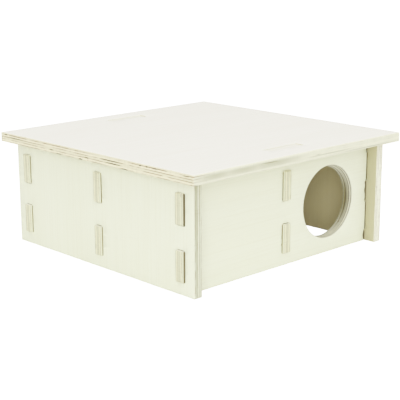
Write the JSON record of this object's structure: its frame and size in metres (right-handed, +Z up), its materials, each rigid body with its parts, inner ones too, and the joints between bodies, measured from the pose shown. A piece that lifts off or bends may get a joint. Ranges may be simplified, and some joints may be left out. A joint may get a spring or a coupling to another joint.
{
  "type": "hamster house",
  "caption": "Square wooden hamster house with crossed partitions, tab-and-slot walls, a round entrance and a flat lift-off lid, open to the ground.",
  "frame": {"origin": "on the ground under the centre of the lid", "axes": "+Z up; -Y is the front, the side with the round entrance; +X is the right seen from the front, the side nearer the entrance"},
  "size_m": [0.25, 0.25, 0.1],
  "materials": {
    "wall_plywood": "bare, fine-sanded pale plywood, matt",
    "lid_plywood": "bare, fine-sanded pale plywood, matt"
  },
  "bodies": {
    "house": {"left_side_wall": "wall_plywood", "right_side_wall": "wall_plywood", "front_wall": "wall_plywood", "back_wall": "wall_plywood", "long_partition": "wall_plywood", "cross_partition": "wall_plywood"},
    "lid": {"lid_panel": "lid_plywood"}
  },
  "joints": [
    {"name": "lid_lift", "type": "slide", "parent": "house", "child": "lid", "axis": [0, 0, 1], "range_m": [0, 0.12]}
  ]
}
